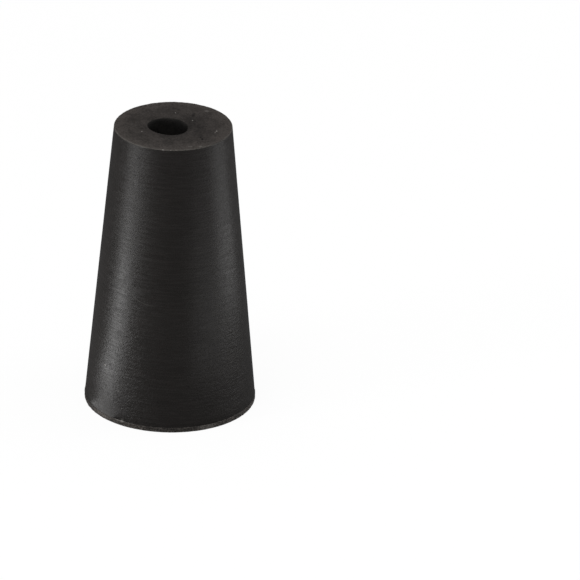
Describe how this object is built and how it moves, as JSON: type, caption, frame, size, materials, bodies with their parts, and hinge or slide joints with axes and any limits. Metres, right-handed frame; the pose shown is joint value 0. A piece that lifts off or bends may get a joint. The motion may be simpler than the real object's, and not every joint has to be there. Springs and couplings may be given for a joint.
{
  "type": "rubber stopper",
  "caption": "Long tapered black rubber stopper with a lengthwise bore, pushed into a flask neck to seal it round a glass tube.",
  "frame": {"origin": "centre of the large end face, which it stands on", "axes": "+Z along the body towards the small end; the bore is parallel to +Z and offset towards -X"},
  "size_m": [0.0288, 0.0288, 0.05],
  "materials": {
    "black_rubber": "matt black rubber: tapered wall ground round and faintly glossy, end faces dull and grainy"
  },
  "bodies": {
    "root": {"stopper": "black_rubber"}
  },
  "joints": []
}
